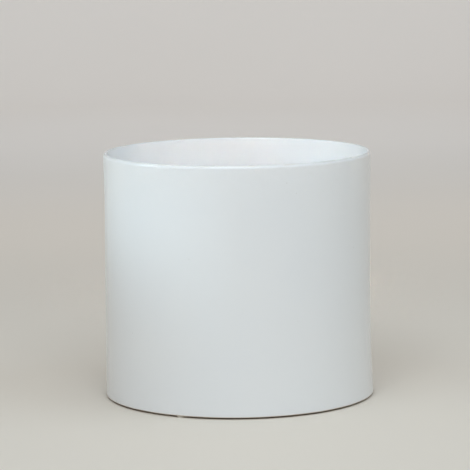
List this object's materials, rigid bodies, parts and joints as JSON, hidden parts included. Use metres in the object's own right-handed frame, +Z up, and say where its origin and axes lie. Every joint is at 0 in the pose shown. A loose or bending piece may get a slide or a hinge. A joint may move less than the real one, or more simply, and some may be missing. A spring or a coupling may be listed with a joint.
{
  "type": "cylinder vase",
  "caption": "Wide, straight-sided white glazed ceramic cylinder vase with a thin rounded lip and bumper pads under its foot ring; holds cut flowers, a liner or a pot.",
  "frame": {"origin": "on the standing surface, under the centre of the vessel", "axes": "+Z up along the vessel's axis, out of its mouth; -Y is the front; +X is to the right seen from the front"},
  "size_m": [0.22, 0.22, 0.2],
  "materials": {
    "fired_clay": "matte",
    "white_glaze": "satin gloss",
    "pad_rubber": "matte",
    "pad_glue": "matte"
  },
  "bodies": {
    "root": {"clay_body": "fired_clay", "glaze_coat": "white_glaze", "foot_pad_1": "pad_rubber", "foot_pad_2": "pad_rubber", "foot_pad_3": "pad_rubber", "pad_adhesive_1": "pad_glue", "pad_adhesive_2": "pad_glue", "pad_adhesive_3": "pad_glue"}
  },
  "joints": []
}
